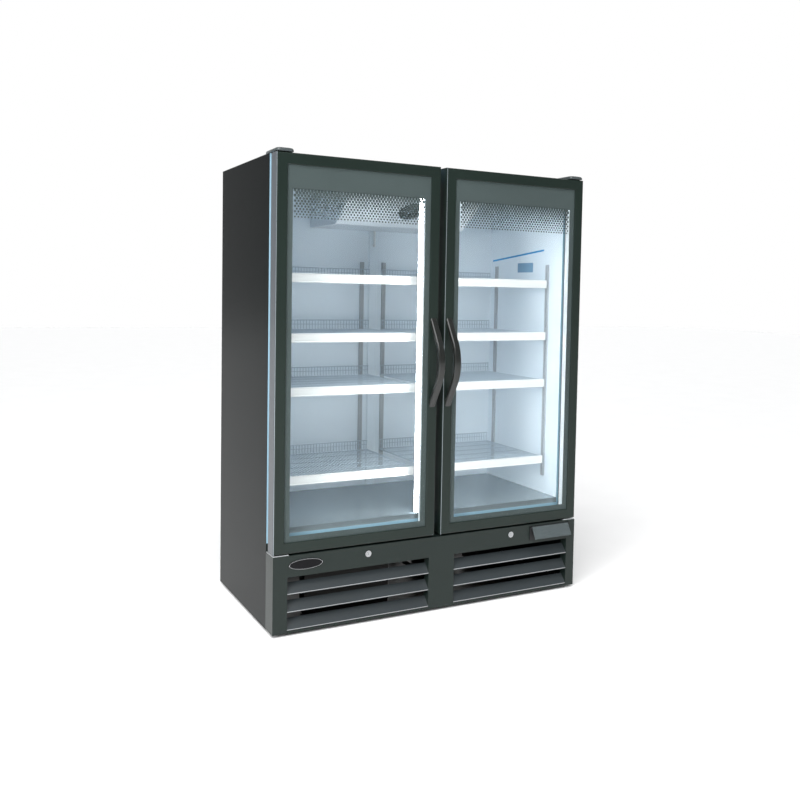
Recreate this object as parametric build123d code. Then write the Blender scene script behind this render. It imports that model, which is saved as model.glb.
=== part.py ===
"""Two-door glass merchandiser refrigerator with a bottom-mounted condensing unit.

Millimetres, +Z up.  +X is to the right of a person facing the doors and the doors face -Y.  The origin is
on the floor, under the centre of the overall box, which runs from the handles' fronts to the back panel.
"""
from build123d import *
import math
import os

os.makedirs("parts", exist_ok=True)

# ---- overall sizes -------------------------------------------------------------------------------------
WIDTH = 1530.0              # cabinet and both doors, side to side
BODY_DEPTH = 700.0          # cabinet, front face frame to back panel
BODY_TOP = 1985.0           # top of the cabinet above the floor
FOOT_HEIGHT = 12.0          # clearance under the cabinet
FOOT_R = 22.0
FOOT_STEM_R = 6.0
FOOT_STEM_L = 40.0
HINGE_COVER_H = 15.0        # stands on the cabinet top
DOOR_STANDOFF = 90.0        # door front to cabinet face frame
HANDLE_REACH = 88.0         # handle front to door front

# ---- walls ---------------------------------------------------------------------------------------------
SKIN = 1.2                  # outer painted steel
LINER = 1.2                 # inner coated aluminium
SIDE_WALL = 46.0
BACK_WALL = 50.0
TOP_WALL = 65.0
FLOOR_WALL = 55.0
DECK_Z = 430.0              # top of the inner floor
FRAME_T = 2.0               # face frame strips

# ---- doors ---------------------------------------------------------------------------------------------
DOOR_GAP = 30.0             # between the two doors
DOOR_SILL_GAP = 7.0         # door's lower edge above the grille panel
DOOR_HEAD_GAP = 4.0         # door's upper edge below the cabinet top
STILE = 47.0                # visible width of the door extrusion
DOOR_T = 66.0               # door extrusion depth
LIP_T = 5.0                 # front lip over the glass
EDGE_R = 7.0                # outer front rounding of the extrusion
REBATE = 12.0               # how far the glass enters the extrusion
PANE_T = 4.0
CAVITY = 14.0               # between the panes
SPACER_W = 9.0
GLASS_CLEAR = 0.3
GASKET_W = 22.0
GASKET_GAP = 0.3            # running allowance at the face frame
PIN_INSET = 14.0            # hinge axis from the door's outer edge
PIN_R = 5.0
PIN_CLEAR = 0.06
PIN_L = 26.0
HINGE_PLATE_T = 4.0
HINGE_PLATE_W = 68.0

# ---- handles -------------------------------------------------------------------------------------------
HANDLE_Z = 1121.0
HANDLE_L = 394.0
HANDLE_W = 32.0
HANDLE_T = 24.0             # limb thickness, measured out from the door
HANDLE_BEND_R = 190.0       # outer radius of the bend between the two limbs
HANDLE_EDGE_R = 7.0
HANDLE_INSET = 25.0         # handle's middle from the door's inner edge

# ---- shelves -------------------------------------------------------------------------------------------
SHELF_HEIGHTS = [195.0, 579.0, 812.0, 1070.0]   # top of the wires above the deck, lowest first
SHELF_REAR_GAP = 35.0       # shelf to the rear liner
SHELF_SETBACK = 90.0        # shelf front from the face frame
SHELF_END_GAP = 29.0        # shelf end to the side wall
SHELF_INNER = 33.0          # shelf's inner end from the middle plane
WIRE = 3.6
WIRE_PITCH = 15.0
RAIL = 6.0
CROSS_WIRES = 3
GUARD_H = 45.0
STRIP_H = 40.0
STRIP_T = 5.0
STRIP_RISE = 3.0            # strip's top above the wires
PILASTER_W = 20.0
PILASTER_T = 9.0
SLOT_PITCH = 25.0
PILASTER_BOTTOM = 90.0      # above the deck
PILASTER_TOP = 1150.0
REAR_POST_X = 61.0          # rear posts either side of the middle
CLIP_T = 5.0
CLIP_W = 12.0
CLIP_BITE = 14.0            # how far a clip reaches under the shelf
CLIP_CLEAR = 0.2

# ---- middle post and lights ----------------------------------------------------------------------------
MULLION_W = 90.0
MULLION_D = 44.0
LED_W = 18.0
LED_D = 22.0
LENS_T = 3.0

# ---- evaporator ----------------------------------------------------------------------------------------
EVAP_W = 680.0
EVAP_DROP = 180.0           # underside below the ceiling
EVAP_NOSE_DROP = 62.0       # top of the sloping fan panel below the ceiling
EVAP_NOSE_Y = 150.0         # nose behind the face frame
EVAP_KNEE_Y = 330.0
EVAP_SHEET = 1.5
FAN_R = 54.0
FAN_HOLE_R = 59.0
FAN_SHARE = 0.42            # fan centre's place down the sloping panel
SHAFT_R = 3.0

# ---- grille panel --------------------------------------------------------------------------------------
GRILLE_TOP = 338.0
GRILLE_BOTTOM = 14.0
SHEET = 1.5
VENT_BOTTOM = 22.0
VENT_TOP = 248.0
LEFT_VENT = (63.0, 42.0)    # from the left end, and from the middle
RIGHT_VENT = (88.0, 47.0)   # from the middle, and from the right end
SLATS = 3
SLAT_T = 2.0
SLAT_RISE = 44.0
SLAT_RUN = 34.0
SLAT_LIP = 8.0
LEFT_LOCK = 425.0           # from the left end
RIGHT_LOCK = 373.0          # from the right end
LOCK_Z = 304.0
LOCK_R = 14.0
PLUG_R = 8.0
TONGUE_L = 52.0
TONGUE_W = 12.0
TONGUE_T = 3.0
CTRL_W = 230.0
CTRL_END = 35.0             # controller to the right end
CTRL_Z = (264.0, 330.0)
CTRL_T = 3.0
COVER_TILT = 28.0           # rest angle of the flip cover, from the panel
COVER_T = 2.0
BUTTON_R = 4.5
BADGE_END = 142.0           # badge's middle from the left end
BADGE_Z = 297.0

# ---- derived places ------------------------------------------------------------------------------------
HALF = WIDTH / 2
TOTAL_DEPTH = BODY_DEPTH + DOOR_STANDOFF + HANDLE_REACH
BACK = TOTAL_DEPTH / 2
FACE = BACK - BODY_DEPTH                    # cabinet's front plane
DOOR_FRONT = FACE - DOOR_STANDOFF
DOOR_BACK = DOOR_FRONT + DOOR_T
IN_X = HALF - SIDE_WALL                     # inner faces of the liner
IN_BACK = BACK - BACK_WALL
CEILING = BODY_TOP - TOP_WALL
FOAM_FLOOR = DECK_Z - FLOOR_WALL
DOOR_BOTTOM = GRILLE_TOP + DOOR_SILL_GAP
DOOR_TOP = BODY_TOP - DOOR_HEAD_GAP
GLASS_Y = DOOR_FRONT + LIP_T
UNIT_T = 2 * PANE_T + CAVITY
AXIS_X = HALF - PIN_INSET
AXIS_Y = DOOR_FRONT + DOOR_T / 2
SHELF_FRONT = FACE + SHELF_SETBACK
SHELF_BACK = IN_BACK - SHELF_REAR_GAP
SHELF_OUT = IN_X - SHELF_END_GAP
EVAP_Z = CEILING - EVAP_DROP
EVAP_NOSE_Z = CEILING - EVAP_NOSE_DROP
VENTS = [(-HALF + LEFT_VENT[0], -LEFT_VENT[1]), (RIGHT_VENT[0], HALF - RIGHT_VENT[1])]
LOCK_X = [-HALF + LEFT_LOCK, HALF - RIGHT_LOCK]
CTRL_X = (HALF - CTRL_END - CTRL_W, HALF - CTRL_END)


def block(x0, x1, y0, y1, z0, z1):
    """A box between two corners."""
    return Pos((x0 + x1) / 2, (y0 + y1) / 2, (z0 + z1) / 2) * Box(abs(x1 - x0), abs(y1 - y0), abs(z1 - z0))


def rod(radius, length, x, y, z, axis="Z"):
    """A cylinder that starts at a point and runs along +axis."""
    turn = {"X": (0, 90, 0), "Y": (-90, 0, 0), "Z": (0, 0, 0)}[axis]
    return Pos(x, y, z) * Rot(*turn) * Cylinder(radius, length, align=(Align.CENTER, Align.CENTER, Align.MIN))


def prism_yz(points, x0, x1):
    """A (y, z) outline extruded along X from x0 to x1."""
    outline = Polyline(*[(x0, y, z) for y, z in points], close=True)
    return extrude(make_face(outline), amount=abs(x1 - x0), dir=(1 if x1 > x0 else -1, 0, 0))


def prism_xy(points, z0, z1):
    """An (x, y) outline extruded up from z0 to z1."""
    outline = Polyline(*[(x, y, z0) for x, y in points], close=True)
    return extrude(make_face(outline), amount=z1 - z0, dir=(0, 0, 1))


def prism_xz(points, y0, y1):
    """An (x, z) outline extruded along +Y from y0 to y1."""
    outline = Polyline(*[(x, y0, z) for x, z in points], close=True)
    return extrude(make_face(outline), amount=y1 - y0, dir=(0, 1, 0))


def save(name, *shapes):
    """Writes one node; several shapes stay separate solids."""
    solids = [s for shape in shapes for s in shape.solids()]
    export_step(solids[0] if len(solids) == 1 else Compound(children=solids), f"parts/{name}.step")


def mirror_x(shape):
    return mirror(shape, about=Plane.YZ)


def mitred_frame(x0, x1, z0, z1, reach, outline):
    """Four bars around a rectangle, mitred at the corners.  outline gives a bar's section as points of
    (distance in from the edge, y); reach is the widest of those distances."""
    reach += 1
    side_cut = [(x0, z0), (x0 + reach, z0 + reach), (x0 + reach, z1 - reach), (x0, z1)]
    end_cut = [(x0, z0), (x0 + reach, z0 + reach), (x1 - reach, z0 + reach), (x1, z0)]
    left = prism_xy([(x0 + u, y) for u, y in outline], z0, z1) & prism_xz(side_cut, DOOR_FRONT - 1, FACE + 1)
    bottom = prism_yz([(y, z0 + u) for u, y in outline], x0, x1) & prism_xz(end_cut, DOOR_FRONT - 1, FACE + 1)
    right, top = Pos(x0 + x1, 0, 0) * mirror_x(left), Pos(0, 0, z0 + z1) * mirror(bottom, about=Plane.XY)
    return [left, right, bottom, top]


# ---- cabinet -------------------------------------------------------------------------------------------
def cabinet():
    side = block(-HALF, -HALF + SKIN, FACE, BACK - SKIN, FOOT_HEIGHT, BODY_TOP - SKIN)
    save("side_panels", side, mirror_x(side))
    save("top_panel", block(-HALF, HALF, FACE, BACK, BODY_TOP - SKIN, BODY_TOP))
    save("back_panel", block(-HALF, HALF, BACK - SKIN, BACK, FOAM_FLOOR, BODY_TOP - SKIN))

    x0, x1 = IN_X + LINER, HALF - SKIN
    y0, y1 = FACE + FRAME_T, BACK - SKIN
    z_low, z_high = FOAM_FLOOR, CEILING + LINER
    wall = block(x0, x1, y0, y1, z_low, BODY_TOP - SKIN)
    save("insulation_foam", wall, mirror_x(wall),
         block(-x0, x0, IN_BACK + LINER, y1, z_low, BODY_TOP - SKIN),
         block(-x0, x0, y0, IN_BACK + LINER, z_high, BODY_TOP - SKIN),
         block(-x0, x0, y0, IN_BACK + LINER, z_low, DECK_Z - LINER))

    liner_side = block(IN_X, IN_X + LINER, y0, IN_BACK, DECK_Z, CEILING)
    save("liner_panels", liner_side, mirror_x(liner_side),
         block(-x0, x0, IN_BACK, IN_BACK + LINER, DECK_Z - LINER, z_high),
         block(-x0, x0, y0, IN_BACK, CEILING, z_high), block(-x0, x0, y0, IN_BACK, DECK_Z - LINER, DECK_Z))

    strip = block(IN_X, HALF - SKIN, FACE, FACE + FRAME_T, FOAM_FLOOR, BODY_TOP - SKIN)
    save("face_frame", strip, mirror_x(strip),
         block(-IN_X, IN_X, FACE, FACE + FRAME_T, CEILING, BODY_TOP - SKIN),
         block(-IN_X, IN_X, FACE, FACE + FRAME_T, FOAM_FLOOR, DECK_Z))

    save("center_mullion", block(-MULLION_W / 2, MULLION_W / 2, FACE, FACE + MULLION_D, DECK_Z, CEILING))


def lights():
    """A light bar on each side of the middle post: a backing channel filled by its frosted lens."""
    channels, lenses = [], []
    z0, z1 = DECK_Z + 3, CEILING - 3
    front, back = FACE + FRAME_T, FACE + FRAME_T + LED_D
    for sign in (-1, 1):
        near, far = sign * MULLION_W / 2, sign * (MULLION_W / 2 + LED_W)
        body = block(near, far, front, back, z0, z1)
        bed = block(near + sign * LENS_T, far, front, back - LENS_T, z0 + 2, z1 - 2)
        channels.append(body - bed)
        lenses.append(bed)
    save("led_channels", *channels)
    save("led_lenses", *lenses)


# ---- shelving ------------------------------------------------------------------------------------------
def pilaster(x, y, facing):
    """A slotted upright.  facing is the (x, y) direction in which it stands off its wall."""
    fx, fy = facing
    z0, z1 = DECK_Z + PILASTER_BOTTOM, DECK_Z + PILASTER_TOP
    wide_x = PILASTER_T if fx else PILASTER_W
    wide_y = PILASTER_T if fy else PILASTER_W
    bar = block(x - wide_x / 2, x + wide_x / 2, y - wide_y / 2, y + wide_y / 2, z0, z1)
    front = (x + fx * (PILASTER_T / 2 - 1.5), y + fy * (PILASTER_T / 2 - 1.5))
    slots = []
    rows = int((z1 - z0 - SLOT_PITCH) / SLOT_PITCH)
    for row in range(rows):
        z = z0 + SLOT_PITCH * (row + 0.8)
        slots.append(Pos(front[0], front[1], z) * Box(4 if fx else 3, 4 if fy else 3, 12))
    return bar - slots


POSTS = [  # place and facing of the uprights of the right bay; the left bay mirrors them
    (IN_X - PILASTER_T / 2, SHELF_FRONT + 27, (-1, 0)),
    (IN_X - PILASTER_T / 2, SHELF_BACK - 30, (-1, 0)),
    (REAR_POST_X, IN_BACK - PILASTER_T / 2, (0, -1)),
    (SHELF_INNER - CLIP_W / 2 - 2, FACE + MULLION_D + PILASTER_T / 2, (0, 1)),
]


def clips_at(z):
    """Four clips that hold a right-bay shelf whose wires' underside is at z."""
    top, low = z - CLIP_CLEAR, z - CLIP_CLEAR - CLIP_T
    clips = []
    for x, y, (fx, fy) in POSTS:
        if fx:
            wall = x - PILASTER_T / 2
            arm = block(wall, SHELF_OUT - CLIP_BITE, y - CLIP_W / 2, y + CLIP_W / 2, low, top)
            plate = block(wall - CLIP_T / 2, wall, y - CLIP_W / 2, y + CLIP_W / 2, low - 14, top)
        elif fy < 0:
            wall = y - PILASTER_T / 2
            arm = block(x - CLIP_W / 2, x + CLIP_W / 2, SHELF_BACK - CLIP_BITE, wall, low, top)
            plate = block(x - CLIP_W / 2, x + CLIP_W / 2, wall - CLIP_T / 2, wall, low - 14, top)
        else:
            wall = y + PILASTER_T / 2
            arm = block(x - CLIP_W / 2, x + CLIP_W / 2, wall, SHELF_FRONT + CLIP_BITE, low, top)
            arm += block(x - CLIP_W / 2, SHELF_INNER + CLIP_BITE, SHELF_FRONT + 2, SHELF_FRONT + CLIP_BITE,
                         low, top)
            plate = block(x - CLIP_W / 2, x + CLIP_W / 2, wall, wall + CLIP_T / 2, low - 14, top)
        clips.append(arm + plate)
    return clips


def shelf(z):
    """A right-bay shelf: wire deck, rear guard and front price strip, with the wires' top at z."""
    x0, x1 = SHELF_INNER, SHELF_OUT
    y0, y1 = SHELF_FRONT, SHELF_BACK
    low = z - WIRE
    cells_x = int((x1 - x0 - 2 * RAIL) / WIRE_PITCH)
    cell_x = (x1 - x0 - 2 * RAIL + WIRE) / cells_x
    rows = CROSS_WIRES + 1
    cell_y = (y1 - y0 - 2 * RAIL + WIRE) / rows
    middle = Pos((x0 + x1) / 2, (y0 + y1) / 2)
    holes = middle * GridLocations(cell_x, cell_y, cells_x, rows) * Rectangle(cell_x - WIRE, cell_y - WIRE)
    grid = Pos(0, 0, low) * extrude(middle * Rectangle(x1 - x0, y1 - y0) - holes, amount=WIRE)

    guard = block(x0, x1, y1 - WIRE, y1, z + GUARD_H - WIRE, z + GUARD_H)
    posts = 5
    for i in range(posts):
        x = x0 + WIRE / 2 + (x1 - x0 - WIRE) * i / (posts - 1)
        guard += block(x - WIRE / 2, x + WIRE / 2, y1 - WIRE, y1, z, z + GUARD_H - WIRE)

    top = z + STRIP_RISE
    strip = prism_yz([(y0, top), (y0 - STRIP_T, top - 2), (y0 - STRIP_T - 1, top - STRIP_H),
                      (y0 - 1, top - STRIP_H)], x0, x1)
    return [grid, guard, strip]


def shelving():
    uprights = [pilaster(*post) for post in POSTS]
    save("shelf_pilasters", *uprights, *[mirror_x(u) for u in uprights])
    clips = [clip for height in SHELF_HEIGHTS for clip in clips_at(DECK_Z + height - WIRE)]
    save("shelf_clips", *clips, *[mirror_x(c) for c in clips])
    for row, height in enumerate(reversed(SHELF_HEIGHTS), start=1):
        pieces = shelf(DECK_Z + height)
        save(f"right_shelf_{row}", *pieces)
        save(f"left_shelf_{row}", *[mirror_x(p) for p in pieces])


# ---- evaporator ----------------------------------------------------------------------------------------
SLOPE = math.degrees(math.atan2(EVAP_NOSE_Z - EVAP_Z, EVAP_KNEE_Y - EVAP_NOSE_Y))
FAN_PLACE = (FACE + EVAP_NOSE_Y + (EVAP_KNEE_Y - EVAP_NOSE_Y) * FAN_SHARE,
             EVAP_NOSE_Z + (EVAP_Z - EVAP_NOSE_Z) * FAN_SHARE)


def on_fan_panel(shape, depth=0.0):
    """Puts a shape modelled along Z on the sloping fan panel; depth is how far behind its outer face."""
    return Pos(0, *FAN_PLACE) * Rot(-SLOPE, 0, 0) * Pos(0, 0, depth) * shape


def upright_rod(radius, length, z=0.0):
    """A cylinder on the Z axis, from z up."""
    return Pos(0, 0, z) * Cylinder(radius, length, align=(Align.CENTER, Align.CENTER, Align.MIN))


def axial_fan(radius, thickness, hub_r, blades, bore):
    """Hub and pitched blades about Z, from z 0 up."""
    fan = upright_rod(hub_r, thickness) - upright_rod(bore, thickness)
    for i in range(blades):
        blade = Box(radius - hub_r * 0.7, radius * 0.42, 2, align=(Align.MIN, Align.CENTER, Align.CENTER))
        fan += Rot(0, 0, 360 * i / blades) * Pos(hub_r * 0.7, 0, thickness / 2) * Rot(24, 0, 0) * blade
    return fan


def fan_guard(radius, wire):
    """Concentric rings joined by spokes, lying on z 0."""
    rings = 4
    guard = None
    for i in range(rings):
        r = radius * (i + 1) / rings
        ring = Cylinder(r, wire) - Cylinder(r - wire, wire)
        guard = ring if guard is None else guard + ring
    for angle in (0, 60, 120):
        guard += Rot(0, 0, angle) * Box(2 * radius - 1, wire, wire)
    return Pos(0, 0, -wire / 2) * guard


def evaporator():
    y_nose, y_knee = FACE + EVAP_NOSE_Y, FACE + EVAP_KNEE_Y
    y_back = IN_BACK
    outer = [(y_nose, CEILING), (y_nose, EVAP_NOSE_Z), (y_knee, EVAP_Z), (y_back, EVAP_Z), (y_back, CEILING)]
    shell = prism_yz(outer, -EVAP_W / 2, EVAP_W / 2)
    t = EVAP_SHEET
    lean = t / math.cos(math.radians(SLOPE)) * 1.1
    hollow = [(y_nose + t, CEILING), (y_nose + t, EVAP_NOSE_Z + lean), (y_knee + t * 0.3, EVAP_Z + t),
              (y_back, EVAP_Z + t), (y_back, CEILING)]
    shell -= prism_yz(hollow, -EVAP_W / 2 + t, EVAP_W / 2 - t)
    shell -= on_fan_panel(Cylinder(FAN_HOLE_R, 12))
    save("evaporator_housing", shell)

    coil_y0, coil_y1 = y_knee + 70, y_back - 60
    coil = block(-EVAP_W / 2 + 45, EVAP_W / 2 - 45, coil_y0, coil_y1, EVAP_Z + 25, CEILING - 12)
    save("evaporator_coil", coil)

    save("evaporator_fan", on_fan_panel(axial_fan(FAN_R, 14, 16, 5, SHAFT_R + PIN_CLEAR), 14.5))
    guards = [on_fan_panel(fan_guard(FAN_HOLE_R + 4, 2.0))]
    motors = [on_fan_panel(upright_rod(24, 40, 38) + upright_rod(SHAFT_R, 25, 14))]
    return guards, motors


def rear_channel():
    """Cover strip down the back wall, with the drain tube in front of it."""
    half = 26.0
    top = EVAP_Z
    save("rear_channel_cover", prism_xy([(-half, IN_BACK), (-half + 6, IN_BACK - 8), (half - 6, IN_BACK - 8),
                                         (half, IN_BACK)], DECK_Z, top))
    y = IN_BACK - 18
    tube = rod(6, 70, 0, y, top - 70) + Pos(0, y, top - 74) * Sphere(9)
    save("drain_tube", tube - rod(4, 60, 0, y, top - 60))


# ---- condensing unit -----------------------------------------------------------------------------------
COND_X, COND_Z, COND_R = -HALF + 385.0, 190.0, 120.0
COMP_X = HALF - 515.0
BOX_X = HALF - 285.0


def condensing_unit(guards, motors):
    inside = HALF - SKIN
    pan = block(-inside, inside, FACE, BACK - SKIN, FOOT_HEIGHT, FOOT_HEIGHT + 2)
    for y in (FACE + 20, BACK - 60):
        pan += block(-inside, inside, y, y + 40, FOOT_HEIGHT + 2, FOOT_HEIGHT + 20)
    for side, x in (("left", -HALF + 60), ("right", HALF - 60)):
        for end, y in (("front", FACE + 40), ("rear", BACK - 40)):
            pan -= rod(FOOT_STEM_R + PIN_CLEAR, 30, x, y, FOOT_HEIGHT - 5)
            foot = rod(FOOT_R, FOOT_HEIGHT, x, y, 0) + rod(FOOT_STEM_R, FOOT_STEM_L, x, y, FOOT_HEIGHT)
            save(f"{end}_{side}_foot", foot)
    save("base_pan", pan)

    floor = FOOT_HEIGHT + 20
    y_coil = FACE + 40
    save("condenser_coil", block(COND_X - 200, COND_X + 200, y_coil, y_coil + 60, floor, FOAM_FLOOR - 30))
    y_fan = y_coil + 75
    fan = Rot(-90, 0, 0) * axial_fan(COND_R, 22, 24, 5, SHAFT_R + PIN_CLEAR)
    save("condenser_fan", Pos(COND_X, y_fan + 10, COND_Z) * fan)
    motor = rod(36, 60, COND_X, y_fan + 50, COND_Z, "Y") + rod(SHAFT_R, 47, COND_X, y_fan + 8, COND_Z, "Y")
    motors.append(motor + block(COND_X - 8, COND_X + 8, y_fan + 70, y_fan + 95, floor, COND_Z))
    guards.append(Pos(COND_X, y_fan + 5, COND_Z) * Rot(90, 0, 0) * fan_guard(COND_R + 8, 2.4))
    save("fan_guards", *guards)
    save("fan_motors", *motors)

    y_can = BACK - 260
    can = rod(95, 150, COMP_X, y_can, floor + 25) + Pos(COMP_X, y_can, floor + 175) * Sphere(95)
    can += Pos(COMP_X, y_can, floor + 12) * Box(230, 160, 25)
    room = block(COMP_X - 120, COMP_X + 120, y_can - 120, y_can + 120, floor, FOAM_FLOOR - 20)
    save("compressor", can & room)
    box = block(BOX_X, BOX_X + 160, BACK - 330, BACK - 200, floor, floor + 140)
    save("electrical_box", box + rod(11, 30, BOX_X + 80, BACK - 200, floor + 60, "Y"))

    guard = block(-inside, inside, BACK - SKIN, BACK, FOOT_HEIGHT + 2, FOAM_FLOOR)
    columns = 8
    bay = (inside * 2 - 160) / columns
    centres = [-inside + 80 + bay * (column + 0.5) for column in range(columns)]
    rows = [FOOT_HEIGHT + 60 + 32 * row for row in range(9)]
    guard -= [Pos(x, BACK, z) * Box(bay - 30, 6, 14) for x in centres for z in rows]
    save("rear_machine_guard", guard)


# ---- grille panel --------------------------------------------------------------------------------------
TONGUE_Y = DOOR_FRONT + 34


def tongue_pocket(x, low, high):
    """The room a lock's tongue sweeps as it turns up from pointing to +X."""
    return block(x - TONGUE_W / 2 - 3, x + TONGUE_L * 0.62 + TONGUE_W, TONGUE_Y - 5, TONGUE_Y + TONGUE_T + 5,
                 low, high)


def grille():
    tray = block(-HALF, HALF, DOOR_FRONT, FACE, GRILLE_BOTTOM, GRILLE_TOP)
    tray -= block(-HALF + SHEET, HALF - SHEET, DOOR_FRONT + SHEET, FACE,
                  GRILLE_BOTTOM + SHEET, GRILLE_TOP - SHEET)
    for x0, x1 in VENTS:
        tray -= block(x0, x1, DOOR_FRONT, DOOR_FRONT + SHEET, VENT_BOTTOM, VENT_TOP)
        for cheek in ((x0 - SHEET, x0), (x1, x1 + SHEET)):
            tray += block(*cheek, DOOR_FRONT + SHEET, DOOR_FRONT + SLAT_RUN + 10, VENT_BOTTOM, VENT_TOP)
    for x in LOCK_X:
        tray -= rod(LOCK_R - 2, SHEET, x, DOOR_FRONT, LOCK_Z, "Y")
        tray -= tongue_pocket(x, GRILLE_TOP - SHEET, GRILLE_TOP)
    x_mid = sum(CTRL_X) / 2
    tray -= block(x_mid - 60, x_mid + 60, DOOR_FRONT, DOOR_FRONT + SHEET, CTRL_Z[0] + 12, CTRL_Z[1] - 22)
    save("grille_panel", tray)

    pitch = (VENT_TOP - VENT_BOTTOM) / SLATS
    slats = []
    for x0, x1 in VENTS:
        for i in range(SLATS):
            z = VENT_BOTTOM + pitch * i + 1
            y = DOOR_FRONT + 1
            outline = [(y + 1.5, z), (y, z + 1.5), (y, z + SLAT_LIP - 1.5), (y + 1.5, z + SLAT_LIP),
                       (y + SLAT_RUN, z + SLAT_RISE), (y + SLAT_RUN + SLAT_T, z + SLAT_RISE - 2),
                       (y + SLAT_LIP - 1, z + SLAT_LIP - 2), (y + SLAT_LIP - 1, z)]
            slats.append(prism_yz(outline, x0, x1))
    save("grille_slats", *slats)


def locks():
    barrels = []
    y = DOOR_FRONT
    for name, x in zip(("left", "right"), LOCK_X):
        barrel = rod(LOCK_R, 4, x, y - 4, LOCK_Z, "Y") + rod(LOCK_R - 2.1, 30, x, y, LOCK_Z, "Y")
        barrels.append(barrel - rod(PLUG_R + PIN_CLEAR, 40, x, y - 5, LOCK_Z, "Y"))
        plug = rod(PLUG_R, 34, x, y - 5, LOCK_Z, "Y")
        plug -= Pos(x, y - 5, LOCK_Z) * Box(1.6, 6, 9)
        plug += block(x - TONGUE_W / 2, x + TONGUE_L, TONGUE_Y, TONGUE_Y + TONGUE_T,
                      LOCK_Z - TONGUE_W / 2, LOCK_Z + TONGUE_W / 2)
        plug += rod(PLUG_R, 6, x, y + 29, LOCK_Z, "Y")
        save(f"{name}_lock_plug", plug)
    save("lock_barrels", *barrels)


def controller():
    x0, x1 = CTRL_X
    z0, z1 = CTRL_Z
    y = DOOR_FRONT
    x_mid = (x0 + x1) / 2
    body = block(x0, x1, y - CTRL_T, y, z0, z1)
    body += block(x_mid - 58, x_mid + 58, y, y + 45, z0 + 14, z1 - 24)
    button_x = [x_mid + 14 + 14 * i for i in range(3)]
    z_button = (z0 + z1) / 2 - 5
    body -= block(x_mid - 50, x_mid, y - CTRL_T, y - CTRL_T + 1, z_button - 11, z_button + 11)
    for i, x in enumerate(button_x, start=1):
        body -= rod(BUTTON_R + 0.3, CTRL_T + 4, x, y - CTRL_T, z_button, "Y")
        save(f"controller_button_{i}", rod(BUTTON_R, CTRL_T + 2, x, y - CTRL_T - 1.5, z_button, "Y"))
    ear_z = z1 - 6
    for ear in ((x0 + 3, x0 + 8), (x1 - 8, x1 - 3)):
        lug = block(*ear, y - CTRL_T - 7, y - CTRL_T, ear_z - 4, ear_z + 4)
        body += lug - rod(1.5 + PIN_CLEAR, 8, ear[0] - 1, y - CTRL_T - 4, ear_z, "X")
    save("controller_body", body)

    plate = block(x0 + 10, x1 - 10, -COVER_T - 1, -1, -(ear_z - z0 - 2), 3)
    for cheek in ((x0 + 10, x0 + 12), (x1 - 12, x1 - 10)):
        plate += prism_yz([(-2, 2), (-2, -(ear_z - z0 - 4)), (2.2, -8), (2.2, 2)], *cheek)
    plate += rod(1.5, x1 - x0 - 6, x0 + 3, 0, 0, "X")
    save("controller_cover", Pos(0, y - CTRL_T - 4, ear_z) * Rot(-COVER_TILT, 0, 0) * plate)


# ---- doors ---------------------------------------------------------------------------------------------
def door(name, hinge_sign):
    """One door, with its hinge on the side that hinge_sign points to."""
    x0, x1 = sorted((hinge_sign * HALF, hinge_sign * DOOR_GAP / 2))
    z0, z1 = DOOR_BOTTOM, DOOR_TOP
    y_glass_back = GLASS_Y + UNIT_T + GLASS_CLEAR
    chamfer = EDGE_R
    extrusion = [(0, DOOR_BACK), (0, DOOR_FRONT + chamfer), (chamfer * 0.3, DOOR_FRONT + chamfer * 0.3),
                 (chamfer, DOOR_FRONT), (STILE - 2, DOOR_FRONT), (STILE, DOOR_FRONT + 2),
                 (STILE, GLASS_Y - GLASS_CLEAR), (STILE - REBATE, GLASS_Y - GLASS_CLEAR),
                 (STILE - REBATE, y_glass_back), (STILE, y_glass_back), (STILE, DOOR_BACK)]
    bars = mitred_frame(x0, x1, z0, z1, STILE, extrusion)
    axis = hinge_sign * AXIS_X
    holes = [rod(PIN_R + PIN_CLEAR, PIN_L + 2, axis, AXIS_Y, z0),
             rod(PIN_R + PIN_CLEAR, PIN_L + 2, axis, AXIS_Y, z1 - PIN_L - 2)]
    lock_x = LOCK_X[0] if hinge_sign < 0 else LOCK_X[1]
    holes.append(tongue_pocket(lock_x, z0, z0 + 16))
    save(f"{name}_door_frame", *[bar - holes for bar in bars])

    edge = STILE - REBATE + GLASS_CLEAR
    pane = [x0 + edge, x1 - edge]
    tall = [z0 + edge, z1 - edge]
    outer = block(*pane, GLASS_Y, GLASS_Y + PANE_T, *tall)
    inner = block(*pane, GLASS_Y + PANE_T + CAVITY, GLASS_Y + UNIT_T, *tall)
    save(f"{name}_door_glass", outer, inner)

    spacer_out = STILE - REBATE + 5
    ring = [(spacer_out, GLASS_Y + PANE_T), (spacer_out + SPACER_W, GLASS_Y + PANE_T),
            (spacer_out + SPACER_W, GLASS_Y + PANE_T + CAVITY), (spacer_out, GLASS_Y + PANE_T + CAVITY)]
    save(f"{name}_glass_spacer", *ring_frame(x0, x1, z0, z1, ring))

    seal = [(PIN_INSET, DOOR_BACK), (PIN_INSET + GASKET_W, DOOR_BACK),
            (PIN_INSET + GASKET_W, FACE - GASKET_GAP), (PIN_INSET, FACE - GASKET_GAP)]
    save(f"{name}_door_gasket", *ring_frame(x0, x1, z0, z1, seal))

    handle_x = hinge_sign * (DOOR_GAP / 2 + HANDLE_INSET)
    save(f"{name}_door_handle", handle(handle_x))


def ring_frame(x0, x1, z0, z1, outline):
    """Four mitred bars of a rectangular outline given as (distance in, y) corners."""
    u0 = min(u for u, _ in outline)
    u1 = max(u for u, _ in outline)
    shifted = [(u - u0, y) for u, y in outline]
    return mitred_frame(x0 + u0, x1 - u0, z0 + u0, z1 - u0, u1 - u0, shifted)


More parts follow.
